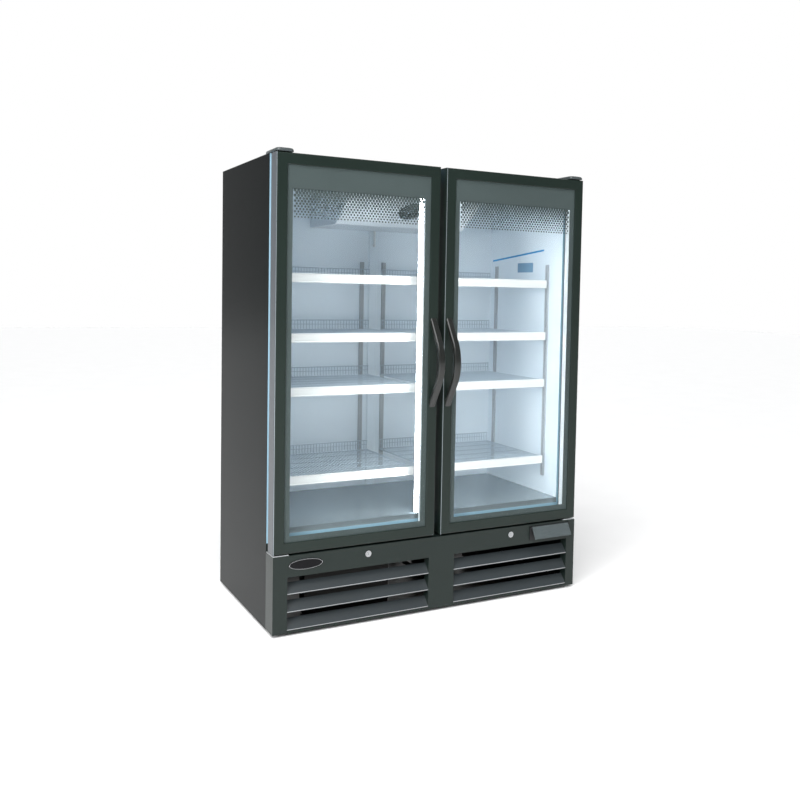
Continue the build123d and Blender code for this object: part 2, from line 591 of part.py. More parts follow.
def handle(x):
    """A boomerang pull: two straight limbs that meet in a wide bend at the middle."""
    half = HANDLE_L / 2
    lean = math.atan2(HANDLE_REACH, half)
    for _ in range(20):
        lean = math.atan2(HANDLE_REACH + HANDLE_BEND_R * (1 / math.cos(lean) - 1), half)
    tip = half * math.tan(lean)
    inner_half = (tip - HANDLE_T) / math.tan(lean)
    outline = make_face(Polyline((0, half), (-tip, 0), (0, -half), (0, -inner_half), (HANDLE_T - tip, 0),
                                 (0, inner_half), close=True))
    outer, inner = [outline.vertices().sort_by(Axis.X)[i] for i in (0, 1)]
    outline = fillet([outer], HANDLE_BEND_R)
    inner = outline.vertices().sort_by_distance((inner.X, inner.Y, 0))[0]
    outline = fillet([inner], HANDLE_BEND_R - HANDLE_T)
    side = Plane(origin=(x - HANDLE_W / 2, DOOR_FRONT, HANDLE_Z), x_dir=(0, 1, 0), z_dir=(1, 0, 0))
    pull = extrude(side * outline, amount=HANDLE_W)
    outer_edges = [e for e in pull.edges() if abs(e.center().X - x) > HANDLE_W / 2 - 0.1
                   and e.center().Y < DOOR_FRONT - 1]
    return fillet(outer_edges, radius=HANDLE_EDGE_R)


def hinges():
    plates, covers = [], []
    x0, x1 = HALF - HINGE_PLATE_W, HALF - 1
    low = block(x0, x1, DOOR_FRONT + 3, FACE, GRILLE_TOP, GRILLE_TOP + HINGE_PLATE_T)
    seat = GRILLE_TOP + HINGE_PLATE_T
    low += rod(PIN_R, PIN_L + DOOR_BOTTOM - seat, AXIS_X, AXIS_Y, seat)
    low += rod(PIN_R + 4, DOOR_BOTTOM - seat - 1, AXIS_X, AXIS_Y, seat)
    up = block(x0, x1 - 2, DOOR_FRONT + 8, FACE + 55, BODY_TOP, BODY_TOP + HINGE_PLATE_T)
    up += rod(PIN_R, PIN_L + BODY_TOP - DOOR_TOP, AXIS_X, AXIS_Y, DOOR_TOP - PIN_L)
    cover = block(x0 - 8, HALF, DOOR_FRONT + 3, FACE + 62, BODY_TOP, BODY_TOP + HINGE_COVER_H)
    cover = fillet(cover.edges().group_by(Axis.Z)[-1], radius=5.0)
    cover -= block(x0 - 6, HALF - 2, DOOR_FRONT + 5, FACE + 60, BODY_TOP, BODY_TOP + HINGE_COVER_H - 2)
    for shapes, shape in ((plates, low), (plates, up), (covers, cover)):
        shapes += [mirror_x(shape), shape]
    save("hinge_brackets", *plates)
    save("hinge_covers", *covers)


def trim():
    plate = extrude(Ellipse(75, 23), amount=2.5)
    save("nameplate_badge", Pos(-HALF + BADGE_END, DOOR_FRONT, BADGE_Z) * Rot(90, 0, 0) * plate)


cabinet()
lights()
shelving()
condensing_unit(*evaporator())
rear_channel()
grille()
locks()
controller()
door("left", -1)
door("right", 1)
hinges()
trim()
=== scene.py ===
"""Looks of the two-door glass merchandiser: materials, glass, wire shelves and studio, on the CAD."""
import math

import bpy
from mathutils import Matrix, Vector


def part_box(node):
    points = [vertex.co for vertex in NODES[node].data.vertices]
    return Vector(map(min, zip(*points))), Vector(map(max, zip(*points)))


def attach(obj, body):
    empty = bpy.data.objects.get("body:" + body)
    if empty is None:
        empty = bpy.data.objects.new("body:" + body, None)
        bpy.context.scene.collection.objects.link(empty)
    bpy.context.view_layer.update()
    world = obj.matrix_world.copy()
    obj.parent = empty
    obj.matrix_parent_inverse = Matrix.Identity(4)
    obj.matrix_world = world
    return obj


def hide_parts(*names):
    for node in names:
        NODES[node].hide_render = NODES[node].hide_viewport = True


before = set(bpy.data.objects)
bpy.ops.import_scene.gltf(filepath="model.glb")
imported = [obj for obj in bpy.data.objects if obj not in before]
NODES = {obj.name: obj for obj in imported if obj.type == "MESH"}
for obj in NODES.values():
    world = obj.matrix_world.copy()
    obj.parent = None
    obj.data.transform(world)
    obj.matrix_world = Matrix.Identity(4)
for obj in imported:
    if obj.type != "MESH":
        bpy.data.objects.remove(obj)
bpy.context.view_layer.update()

MM = 0.001
SIDES = ("left", "right")


# ---- materials -----------------------------------------------------------------------------------------
NOISE_RANGE = (0.3, 0.7)    # nearly all of a noise texture's values fall in this range
ROUGH_VARY = 0.12           # how far the gloss varies, as a share of the roughness
COAT_ROUGH = 0.08
RELIEF = 1 * MM
# Painted highlight: the hinge-side edge of each door is painted lighter over this share.
OUTER_SHARE = 0.0015        # the outermost millimetre of a door, as a share of its width
WAVE_PERIOD = 0.314         # band spacing of a wave texture at scale 1, in metres


def new_material(name):
    material = bpy.data.materials.new(name)
    material.use_nodes = True
    tree = material.node_tree
    shader = tree.nodes["Principled BSDF"]
    return material, tree, shader


def rgba(color):
    return tuple(color) + (1.0,)


def noise(tree, scale, detail=4.0, stretch=(1, 1, 1)):
    """A noise texture in object coordinates, stretched along chosen axes."""
    coords = tree.nodes.new("ShaderNodeTexCoord")
    mapping = tree.nodes.new("ShaderNodeMapping")
    mapping.inputs["Scale"].default_value = stretch
    texture = tree.nodes.new("ShaderNodeTexNoise")
    texture.inputs["Scale"].default_value = scale
    texture.inputs["Detail"].default_value = detail
    tree.links.new(coords.outputs["Object"], mapping.inputs["Vector"])
    tree.links.new(mapping.outputs["Vector"], texture.inputs["Vector"])
    return texture


def spread(tree, source, low, high):
    """Maps a noise texture's range on to low..high."""
    ranged = tree.nodes.new("ShaderNodeMapRange")
    ranged.inputs["From Min"].default_value = NOISE_RANGE[0]
    ranged.inputs["From Max"].default_value = NOISE_RANGE[1]
    ranged.inputs["To Min"].default_value = low
    ranged.inputs["To Max"].default_value = high
    tree.links.new(source, ranged.inputs["Value"])
    return ranged.outputs["Result"]


def shade(color, factor):
    """The colour made darker or lighter, with no channel over 1."""
    return rgba(min(1.0, channel * factor) for channel in color)


def surface(name, color, rough=0.4, metallic=0.0, coat=0.0, grain=60.0, patch=2.5, vary=0.08, bump=0.02,
            stretch=(1, 1, 1), specular=0.5):
    """A painted, moulded or metal surface: patchy tone, uneven gloss and a fine surface grain."""
    material, tree, shader = new_material(name)
    broad = noise(tree, patch, 3.0)
    fine = noise(tree, grain, 5.0, stretch)
    ramp = tree.nodes.new("ShaderNodeValToRGB")
    for element, position, factor in zip(ramp.color_ramp.elements, NOISE_RANGE, (1 - vary, 1 + vary)):
        element.position = position
        element.color = shade(color, factor)
    tree.links.new(broad.outputs["Fac"], ramp.inputs["Fac"])
    tree.links.new(ramp.outputs["Color"], shader.inputs["Base Color"])
    gloss = spread(tree, fine.outputs["Fac"], rough * (1 - ROUGH_VARY), rough * (1 + ROUGH_VARY))
    tree.links.new(gloss, shader.inputs["Roughness"])
    relief = tree.nodes.new("ShaderNodeBump")
    relief.inputs["Strength"].default_value = bump
    relief.inputs["Distance"].default_value = RELIEF
    tree.links.new(fine.outputs["Fac"], relief.inputs["Height"])
    tree.links.new(relief.outputs["Normal"], shader.inputs["Normal"])
    shader.inputs["Metallic"].default_value = metallic
    shader.inputs["Coat Weight"].default_value = coat
    shader.inputs["Coat Roughness"].default_value = COAT_ROUGH
    shader.inputs["Specular IOR Level"].default_value = specular
    return material


def paint_hinge_edge_highlight(material, side, color):
    """Paints a highlight on a door's outermost millimetre, at its hinge side: a lighter colour on the side
    face that stands in for the light on the edge.
    """
    tree = material.node_tree
    coords = tree.nodes.new("ShaderNodeTexCoord")
    split = tree.nodes.new("ShaderNodeSeparateXYZ")
    tree.links.new(coords.outputs["Generated"], split.inputs["Vector"])
    # Mask of the outermost edge, where the highlight is painted.
    outer = tree.nodes.new("ShaderNodeMath")
    outer.operation = "LESS_THAN" if side == "left" else "GREATER_THAN"
    outer.inputs[1].default_value = OUTER_SHARE if side == "left" else 1 - OUTER_SHARE
    tree.links.new(split.outputs["X"], outer.inputs[0])
    shader = tree.nodes["Principled BSDF"]
    painted = shader.inputs["Base Color"].links[0].from_socket
    mix = tree.nodes.new("ShaderNodeMixRGB")
    tree.links.new(outer.outputs["Value"], mix.inputs["Fac"])
    tree.links.new(painted, mix.inputs["Color1"])
    mix.inputs["Color2"].default_value = rgba(color)
    tree.links.new(mix.outputs["Color"], shader.inputs["Base Color"])


def glowing(name, color, strength):
    """A frosted lamp lens."""
    material = surface(name, color, rough=0.5, vary=0.02, bump=0.01)
    tree = material.node_tree
    shader = tree.nodes["Principled BSDF"]
    shader.inputs["Emission Color"].default_value = rgba(color)
    shader.inputs["Emission Strength"].default_value = strength
    return material


def window_glass(name, tint, share):
    """Flat glass: mostly clear, with a faint reflection that grows towards grazing angles."""
    material, tree, shader = new_material(name)
    tree.nodes.remove(shader)
    clear = tree.nodes.new("ShaderNodeBsdfTransparent")
    clear.inputs["Color"].default_value = rgba(tint)
    gloss = tree.nodes.new("ShaderNodeBsdfGlossy")
    gloss.inputs["Color"].default_value = (0.9, 0.95, 1.0, 1.0)
    smear = noise(tree, 5.0, 4.0)
    tree.links.new(spread(tree, smear.outputs["Fac"], 0.01, 0.03), gloss.inputs["Roughness"])
    facing = tree.nodes.new("ShaderNodeLayerWeight")
    facing.inputs["Blend"].default_value = 0.12
    scale = tree.nodes.new("ShaderNodeMath")
    scale.operation = "MULTIPLY"
    scale.inputs[1].default_value = share
    tree.links.new(facing.outputs["Fresnel"], scale.inputs[0])
    mix = tree.nodes.new("ShaderNodeMixShader")
    tree.links.new(scale.outputs["Value"], mix.inputs["Fac"])
    tree.links.new(clear.outputs["BSDF"], mix.inputs[1])
    tree.links.new(gloss.outputs["BSDF"], mix.inputs[2])
    tree.links.new(mix.outputs["Shader"], tree.nodes["Material Output"].inputs["Surface"])
    return material


def smoked_plastic(name, color, tint, share):
    """A tinted moulding: part of the light passes, the rest shows the plastic's own colour."""
    material = surface(name, color, rough=0.2, coat=0.6, grain=30, bump=0.01, vary=0.15)
    tree = material.node_tree
    clear = tree.nodes.new("ShaderNodeBsdfTransparent")
    clear.inputs["Color"].default_value = rgba(tint)
    mix = tree.nodes.new("ShaderNodeMixShader")
    cloud = noise(tree, 12.0, 3.0)
    tree.links.new(spread(tree, cloud.outputs["Fac"], share * 0.9, share * 1.1), mix.inputs["Fac"])
    tree.links.new(tree.nodes["Principled BSDF"].outputs["BSDF"], mix.inputs[1])
    tree.links.new(clear.outputs["BSDF"], mix.inputs[2])
    tree.links.new(mix.outputs["Shader"], tree.nodes["Material Output"].inputs["Surface"])
    return material


def finned(name, color, pitch):
    """Coil faces: closely spaced bright fins with dark gaps."""
    material = surface(name, color, rough=0.35, metallic=1.0)
    tree = material.node_tree
    shader = tree.nodes["Principled BSDF"]
    coords = tree.nodes.new("ShaderNodeTexCoord")
    wave = tree.nodes.new("ShaderNodeTexWave")
    wave.bands_direction = "X"
    wave.inputs["Scale"].default_value = WAVE_PERIOD / pitch
    wave.inputs["Distortion"].default_value = 0.6
    tree.links.new(coords.outputs["Object"], wave.inputs["Vector"])
    ramp = tree.nodes.new("ShaderNodeValToRGB")
    ramp.color_ramp.elements[0].color = (0.03, 0.03, 0.03, 1)
    ramp.color_ramp.elements[1].color = rgba(color)
    tree.links.new(wave.outputs["Fac"], ramp.inputs["Fac"])
    tree.links.new(ramp.outputs["Color"], shader.inputs["Base Color"])
    return material


PAINT = surface("dark_gloss_paint", (0.013, 0.019, 0.017), rough=0.28, coat=0.25, grain=420, bump=0.03,
                specular=0.35)
# Side panels: the cabinet's dark paint, made darker than on the top and back as painted shade on the sides.
PANEL = surface("side_panels_paint_and_shade", (0.003, 0.004, 0.004), rough=0.30, grain=380, bump=0.02, specular=0.06)
PANEL.node_tree.nodes["Principled BSDF"].inputs["Specular Tint"].default_value = (0.85, 0.97, 1.0, 1.0)
GRILLE = surface("grille_paint", (0.008, 0.014, 0.012), rough=0.38, coat=0.1, grain=420, bump=0.03,
                 specular=0.3)
SLAT = surface("louvre_paint", (0.026, 0.032, 0.035), rough=0.34, coat=0.2, grain=300, bump=0.04)
# Painted highlight: the light colour of the slats' lower lips stands in for the studio light they reflect.
LOUVRE_HIGHLIGHT = surface("louvre_painted_highlight", (0.27, 0.28, 0.29), rough=0.3, coat=0.3, grain=300, bump=0.03)
# Painted highlight: light-coloured thin rods along rounded edges, standing in for the light they catch.
EDGE_HIGHLIGHT = surface("painted_edge_highlight", (0.32, 0.36, 0.39), rough=0.3, metallic=0.6, grain=200, bump=0.02)
EXTRUSION = {}
for side in SIDES:
    EXTRUSION[side] = surface(f"{side}_door_frame_paint_and_highlight", (0.010, 0.017, 0.014), rough=0.34, coat=0.1,
                              grain=500, bump=0.03, stretch=(1, 1, 0.1), specular=0.25)
    # Light colour of the painted highlight along the hinge-side edge.
    paint_hinge_edge_highlight(EXTRUSION[side], side, (0.075, 0.083, 0.092))
LINER = surface("white_liner", (0.76, 0.83, 0.90), rough=0.34, grain=240, bump=0.06, vary=0.03)
HOUSING = surface("housing_white", (0.76, 0.80, 0.85), rough=0.38, grain=200, bump=0.05, vary=0.03)
FLOOR_LINER = surface("inner_floor", (0.29, 0.34, 0.37), rough=0.14, metallic=0.35, grain=160, vary=0.06)
BREAKER = surface("breaker_strip", (0.30, 0.48, 0.60), rough=0.3, grain=150, vary=0.05)
WHITE = surface("white_plastic", (0.82, 0.84, 0.86), rough=0.3, grain=150, vary=0.03)
STRIP = surface("price_strip_white", (0.80, 0.80, 0.81), rough=0.25, grain=150, vary=0.02, coat=0.3)
WIRE = surface("coated_wire", (0.46, 0.53, 0.60), rough=0.3, grain=300, vary=0.04)
ZINC = surface("zinc_steel", (0.44, 0.46, 0.49), rough=0.42, metallic=0.25, grain=180, bump=0.08)
HANDLE = surface("handle_plastic", (0.011, 0.012, 0.011), rough=0.3, coat=0.25, grain=350, bump=0.05)
SEAL = surface("magnetic_gasket", (0.035, 0.03, 0.032), rough=0.6, grain=200, bump=0.1)
SPACER = surface("spacer_bar", (0.30, 0.31, 0.32), rough=0.35, metallic=0.9, grain=300)
TRIM = surface("inner_frame_plastic", (0.78, 0.81, 0.84), rough=0.3, grain=150, vary=0.05)
PRINT = surface("glass_print", (0.057, 0.074, 0.074), rough=0.5, grain=300, vary=0.05, bump=0.01,
                specular=0.2)
BLACK = surface("black_plastic", (0.012, 0.012, 0.013), rough=0.45, grain=260, bump=0.08, specular=0.3)
MACHINE = surface("black_machine_paint", (0.013, 0.013, 0.014), rough=0.35, grain=120, bump=0.08)
FOAM = surface("foam", (0.62, 0.50, 0.28), rough=0.85, grain=90, bump=0.5)
STEEL = surface("hinge_steel", (0.58, 0.60, 0.62), rough=0.28, metallic=1.0, grain=260, stretch=(0.1, 1, 1))
CHROME = surface("lock_chrome", (0.42, 0.43, 0.44), rough=0.22, metallic=1.0, grain=200, bump=0.02)
BUTTON = surface("button_grey", (0.40, 0.42, 0.44), rough=0.35, grain=180)
RUBBER = surface("foot_rubber", (0.02, 0.02, 0.02), rough=0.7, grain=120, bump=0.2)
BADGE = surface("badge_plate", (0.004, 0.004, 0.005), rough=0.35, grain=120, specular=0.15)
LEVEL = surface("level_stripe_blue", (0.02, 0.30, 0.65), rough=0.35, grain=200)
LABEL = surface("blank_label", (0.22, 0.38, 0.55), rough=0.5, grain=200, vary=0.15)
DISPLAY = surface("display_window", (0.012, 0.010, 0.012), rough=0.12, coat=0.6, grain=100)
COIL = finned("coil_fins", (0.72, 0.74, 0.76), 0.004)
LAMP = glowing("light_lens", (0.93, 0.965, 1.0), 30.0)
GLASS = window_glass("door_glass", (0.982, 0.990, 0.988), 0.30)
COVER = smoked_plastic("smoked_cover", (0.10, 0.12, 0.125), (0.60, 0.66, 0.66), 0.40)
CAP = surface("corner_cap_plastic", (0.050, 0.060, 0.062), rough=0.35, coat=0.2, grain=300, bump=0.04)
# Condenser coil: near-black, partly the coil's black paint and partly painted shade of the recess behind the
# louvres.
COIL_PAINT_AND_SHADE = surface("coil_paint_and_shade", (0.020, 0.019, 0.018), rough=0.6, grain=500, bump=0.3, specular=0.2)

FINISH = {
    "side_panels": PANEL, "top_panel": PAINT, "back_panel": PAINT, "rear_machine_guard": PAINT,
    "base_pan": MACHINE, "grille_panel": GRILLE, "grille_slats": SLAT, "face_frame": BREAKER,
    "liner_panels": LINER, "rear_channel_cover": LINER, "evaporator_housing": HOUSING,
    "insulation_foam": FOAM, "shelf_pilasters": ZINC, "shelf_clips": ZINC, "center_mullion": WHITE,
    "led_channels": WHITE, "led_lenses": LAMP, "drain_tube": WHITE, "evaporator_coil": COIL,
    "condenser_coil": COIL_PAINT_AND_SHADE, "evaporator_fan": BLACK, "condenser_fan": BLACK, "fan_guards": WIRE,
    "fan_motors": MACHINE, "compressor": MACHINE, "electrical_box": BLACK, "controller_body": BLACK,
    "controller_button_1": BUTTON, "controller_button_2": BUTTON, "controller_button_3": BUTTON,
    "controller_cover": COVER, "nameplate_badge": BADGE, "hinge_covers": CAP, "hinge_brackets": STEEL,
    "lock_barrels": CHROME,
}
for side in SIDES:
    FINISH.update({
        f"{side}_door_frame": EXTRUSION[side], f"{side}_door_glass": GLASS, f"{side}_glass_spacer": SPACER,
        f"{side}_door_gasket": SEAL, f"{side}_door_handle": HANDLE, f"{side}_lock_plug": CHROME,
        f"front_{side}_foot": RUBBER, f"rear_{side}_foot": RUBBER,
    })
for node, thing in NODES.items():
    thing.data.materials.clear()
    thing.data.materials.append(FINISH.get(node, WIRE))


# ---- mesh helpers --------------------------------------------------------------------------------------
SMOOTH_ANGLE = math.radians(40)     # edges sharper than this stay sharp on a smooth piece


def new_object(name, data):
    """Adds an object with this data to the scene."""
    thing = bpy.data.objects.new(name, data)
    bpy.context.scene.collection.objects.link(thing)
    return thing


def circle(sides):
    """The angles of the corners of a round shape."""
    return [2 * math.pi * k / sides for k in range(sides)]


class Builder:
    """Collects vertices and faces of one piece."""

    def __init__(self):
        self.verts, self.faces = [], []

    def loops(self, rings, close_ends=True):
        """Skins a row of closed point rings of equal length."""
        base, count = len(self.verts), len(rings[0])
        for points in rings:
            self.verts += [tuple(p) for p in points]
        for i in range(len(rings) - 1):
            for j in range(count):
                a, b = base + i * count + j, base + i * count + (j + 1) % count
                self.faces.append((a, b, b + count, a + count))
        if close_ends:
            self.faces.append(tuple(reversed(range(base, base + count))))
            last = base + (len(rings) - 1) * count
            self.faces.append(tuple(range(last, last + count)))

    def path(self, points, radius, sides=8):
        """A round bar bent along a row of points."""
        points = [Vector(p) for p in points]
        rings = []
        side = None
        for i, p in enumerate(points):
            axis = (points[min(i + 1, len(points) - 1)] - points[max(i - 1, 0)]).normalized()
            side = axis.orthogonal() if side is None else side - axis * side.dot(axis)
            side.normalize()
            other = axis.cross(side)
            rings.append([p + side * math.cos(t) * radius + other * math.sin(t) * radius
                          for t in circle(sides)])
        self.loops(rings)

    def rod(self, start, end, radius):
        """A straight round bar."""
        self.path([start, end], radius)

    def prism_x(self, outline, x0, x1):
        """A (y, z) outline run along X."""
        self.loops([[(x0, y, z) for y, z in outline], [(x1, y, z) for y, z in outline]])

    def cuboid(self, low, high):
        (x0, y0, z0), (x1, y1, z1) = low, high
        self.prism_x([(y0, z0), (y1, z0), (y1, z1), (y0, z1)], x0, x1)

    def patch(self, x0, x1, y, z0, z1):
        """A flat rectangle that faces -Y."""
        base = len(self.verts)
        self.verts += [(x0, y, z0), (x1, y, z0), (x1, y, z1), (x0, y, z1)]
        self.faces.append(tuple(range(base, base + 4)))

    def disc(self, center, radius, sides=10):
        """A flat dot that faces -Y."""
        base = len(self.verts)
        x, y, z = center
        self.verts += [(x + radius * math.cos(t), y, z + radius * math.sin(t)) for t in circle(sides)]
        self.faces.append(tuple(range(base, base + sides)))

    def piece(self, name, body, material, smooth=False, hides=()):
        """Makes the mesh a piece that rides on a body, and may take the place of CAD nodes."""
        mesh = bpy.data.meshes.new(name)
        mesh.from_pydata(self.verts, [], self.faces)
        mesh.validate()
        mesh.update()
        if smooth:
            mesh.polygons.foreach_set("use_smooth", [True] * len(mesh.polygons))
            mesh.set_sharp_from_angle(angle=SMOOTH_ANGLE)
        thing = new_object(name, mesh)
        mesh.materials.append(material)
        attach(thing, body)
        if hides:
            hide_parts(*hides)
        return thing


# ---- shelves -------------------------------------------------------------------------------------------
WIRE_R, ROD_R = 1.5 * MM, 2.4 * MM
WIRE_PITCH = 15 * MM
WIRE_BEND = 5 * MM                  # the wires' turn up into the rear fence
CROSS_RODS = 6
GUARD_H = 45 * MM                   # height of the rear fence
STRIP_DEPTH = 6 * MM
STRIP_H = 40 * MM
STRIP_RISE = 3 * MM                 # how far the price strip stands above the wires
STRIP_SKIN = 1.4 * MM
# Outline of the price strip, in millimetres from its front plane and from its upper or lower edge.
STRIP_TOP = ((5.5, 0), (2.2, 0.8), (1.2, 3), (2.4, 5))
STRIP_BULGE, STRIP_STEPS = 1.6, 8
STRIP_FOOT = ((2.2, 5), (0.4, 3), (0.8, 0.6), (3, 0))
STRIP_BACK = ((4.6, 6), (5.8, 4))


def price_strip(node, x0, x1, front, top):
    """The moulded strip along a shelf's front edge, run along X."""
    bottom = top - STRIP_H
    depth, drop = STRIP_TOP[-1]
    outline = [(front + y * MM, top - z * MM) for y, z in STRIP_TOP]
    outline += [(front + (depth - STRIP_BULGE * math.sin(math.pi * k / STRIP_STEPS)) * MM,
                 top - drop * MM - (STRIP_H - 2 * drop * MM) * k / STRIP_STEPS)
                for k in range(1, STRIP_STEPS)]
    outline += [(front + y * MM, bottom + z * MM) for y, z in STRIP_FOOT]
    outline.append((front + STRIP_BACK[0][0] * MM, bottom + STRIP_SKIN))
    outline += [(front + y * MM, top - z * MM) for y, z in STRIP_BACK]
    strip = Builder()
    strip.prism_x(outline, x0, x1)
    strip.piece(node + "_price_strip", node + "_body", STRIP, smooth=True)


def wire_shelf(node):
    """Round wires front to back on cross rods, a raised rear fence and a moulded price strip."""
    low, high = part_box(node)
    x0, x1, y0, y1 = low.x, high.x, low.y + STRIP_DEPTH, high.y
    top = high.z - GUARD_H
    wire_z, rod_z = top - WIRE_R, top - 2 * WIRE_R - ROD_R
    fence = y1 - ROD_R
    width, depth = x1 - x0 - 2 * ROD_R, y1 - y0 - 2 * ROD_R
    wires = Builder()
    count = round(width / WIRE_PITCH)
    for i in range(count + 1):
        x = x0 + ROD_R + width * i / count
        wires.path([(x, y0 + ROD_R, wire_z), (x, fence - WIRE_BEND, wire_z),
                    (x, fence - WIRE_BEND * 0.3, wire_z + WIRE_BEND * 0.3), (x, fence, top + WIRE_BEND),
                    (x, fence, top + GUARD_H - ROD_R)], WIRE_R, sides=6)
    for k in range(CROSS_RODS):
        y = y0 + ROD_R + depth * k / (CROSS_RODS - 1)
        wires.rod((x0, y, rod_z), (x1, y, rod_z), ROD_R)
    for x in (x0 + ROD_R, x1 - ROD_R):
        wires.rod((x, y0, rod_z), (x, y1, rod_z), ROD_R)
    for z, radius in ((top + GUARD_H - ROD_R, ROD_R), (top + GUARD_H * 0.5, WIRE_R)):
        wires.rod((x0, fence, z), (x1, fence, z), radius)
    wires.piece(node + "_wires", node + "_body", WIRE, smooth=True, hides=(node,))
    price_strip(node, x0, x1, low.y, top + STRIP_RISE)


for side in SIDES:
    for row in range(1, 5):
        wire_shelf(f"{side}_shelf_{row}")


# ---- doors ---------------------------------------------------------------------------------------------
STILE = 47 * MM
BORDER = 25 * MM                    # printed border that shows beside the extrusion
HIDDEN = 8 * MM                     # how far the print runs on behind the extrusion
BAND = 97 * MM                      # solid printed band at the top
FADE = 118 * MM                     # dots below the band
DOT_PITCH = (14.5 * MM, 10.7 * MM)
DOT_R = (7.0 * MM, 3.5 * MM)        # first and last row
FIRST_ROW = 0.35                    # the first row's distance below the band, in rows
PANE_T = 4 * MM
PRINT_DEPTH = 0.4 * MM              # how far the print lies inside the front pane's rear face
UNIT_T = 22 * MM                    # thickness of the whole glass unit
TRIM_GAP, TRIM_W = 1 * MM, 3 * MM


def glass_print(side, y, x0, x1, z0, z1):
    """The printed border, the band and the rows of shrinking dots on a door's glass."""
    ink = Builder()
    band_z = z1 - BAND
    ink.patch(x0 - HIDDEN, x0 + BORDER, y, z0 - HIDDEN, band_z)
    ink.patch(x1 - BORDER, x1 + HIDDEN, y, z0 - HIDDEN, band_z)
    ink.patch(x0 + BORDER, x1 - BORDER, y, z0 - HIDDEN, z0 + BORDER)
    ink.patch(x0 - HIDDEN, x1 + HIDDEN, y, band_z, z1 + HIDDEN)
    columns = int((x1 - x0 - 2 * BORDER) / DOT_PITCH[0])
    rows = int(FADE / DOT_PITCH[1])
    start = (x0 + x1) / 2 - (columns - 1) * DOT_PITCH[0] / 2
    for row in range(rows):
        z = band_z - DOT_PITCH[1] * (row + FIRST_ROW)
        radius = DOT_R[0] + (DOT_R[1] - DOT_R[0]) * row / (rows - 1)
        shift = DOT_PITCH[0] / 4 * (1 if row % 2 else -1)
        for column in range(columns):
            ink.disc((start + column * DOT_PITCH[0] + shift, y, z), radius)
    ink.piece(f"{side}_glass_print", f"{side}_door", PRINT)


def inner_trim(side, y0, y1, x0, x1, z0, z1):
    """The white frame that lines a door's opening behind the glass."""
    trim = Builder()
    trim.cuboid((x0, y0, z0 + TRIM_W), (x0 + TRIM_W, y1, z1 - TRIM_W))
    trim.cuboid((x1 - TRIM_W, y0, z0 + TRIM_W), (x1, y1, z1 - TRIM_W))
    trim.cuboid((x0, y0, z0), (x1, y1, z0 + TRIM_W))
    trim.cuboid((x0, y0, z1 - TRIM_W), (x1, y1, z1))
    trim.piece(f"{side}_door_inner_trim", f"{side}_door", TRIM)


for side in SIDES:
    low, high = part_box(f"{side}_door_frame")
    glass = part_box(f"{side}_door_glass")[0].y
    opening = (low.x + STILE, high.x - STILE, low.z + STILE, high.z - STILE)
    glass_print(side, glass + PANE_T - PRINT_DEPTH, *opening)
    inner_trim(side, glass + UNIT_T + TRIM_GAP, high.y, *opening)


# ---- cabinet details -----------------------------------------------------------------------------------
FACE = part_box("face_frame")[0].y    # front plane of the cabinet's face frame
SKIN = 1.2 * MM                     # thickness of the liner's sheets
RIM_INSET, RIM_R, RIM_DEPTH = 2.5 * MM, 1.7 * MM, 0.6 * MM
MARK_GAP, MARK_T = 0.6 * MM, 0.5 * MM
LOAD_LINE_W = 9 * MM
LOAD_LINE_Y = (0.156, 0.631)        # front and back end, behind the face frame's front
LOAD_LINE_Z = (1.650, 1.607)
LABEL_Y, LABEL_Z = (0.248, 0.388), (1.545, 1.594)
DISPLAY_X = (-49 * MM, -1 * MM)     # from the middle of the controller
DISPLAY_Y = (-2.4 * MM, -2.05 * MM)     # from the front of the grille panel
DISPLAY_HALF_H = 10 * MM
FLOOR_RISE = (0.1 * MM, 0.8 * MM)   # underside and top of the floor's liner
SILL_PROUD, SILL_FOLD = 0.15 * MM, 23 * MM
APRON_BACK, APRON_T, APRON_LAP = 0.3 * MM, 1.2 * MM, 1.0 * MM
SLAT_ROWS = 3
VENT_H = 226 * MM
CENTER_BAR = (-42 * MM, 88 * MM)    # the solid part of the grille panel between the two vents
LIP_R, LIP_BACK, LIP_SIDES = 4.2 * MM, 0.6 * MM, 12
# Radii and inset of the painted highlight rods along the grille panel's and doors' edges.
PANEL_BEAD_R = 1.1 * MM
DOOR_BEAD_R, DOOR_BEAD_INSET = 1.3 * MM, 2.1 * MM
CAP_W = 75 * MM
CAP_CORNER = 14 * MM
CAP_STEPS = ((0, 0), (0, 0.35), (1.2 * MM, 0.62), (4 * MM, 0.84), (9 * MM, 0.96), (17 * MM, 1.0))


def ring(builder, center, rx, rz, tube, turns=48, sides=8):
    """An elliptical bead that faces -Y."""
    rings = []
    for i in range(turns + 1):
        a = 2 * math.pi * i / turns
        mid = Vector((center[0] + rx * math.cos(a), center[1], center[2] + rz * math.sin(a)))
        out = Vector((math.cos(a), 0, math.sin(a)))
        rings.append([mid + out * tube * math.cos(b) + Vector((0, 1, 0)) * tube * math.sin(b)
                      for b in circle(sides)])
    builder.loops(rings, close_ends=False)


def rounded(x0, x1, y0, y1, radius, z, steps=6):
    """A rectangle with round corners at height z."""
    points = []
    for cx, cy, start in ((x1 - radius, y1 - radius, 0), (x0 + radius, y1 - radius, 90),
                          (x0 + radius, y0 + radius, 180), (x1 - radius, y0 + radius, 270)):
        for k in range(steps + 1):
            turn = math.radians(start + 90 * k / steps)
            points.append((cx + radius * math.cos(turn), cy + radius * math.sin(turn), z))
    return points


def badge_rim():
    """The metal bead around the blank oval nameplate."""
    low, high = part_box("nameplate_badge")
    center = ((low.x + high.x) / 2, low.y + RIM_DEPTH, (low.z + high.z) / 2)
    rim = Builder()
    ring(rim, center, (high.x - low.x) / 2 - RIM_INSET, (high.z - low.z) / 2 - RIM_INSET, RIM_R)
    rim.piece("nameplate_rim", "cabinet", CHROME, smooth=True)


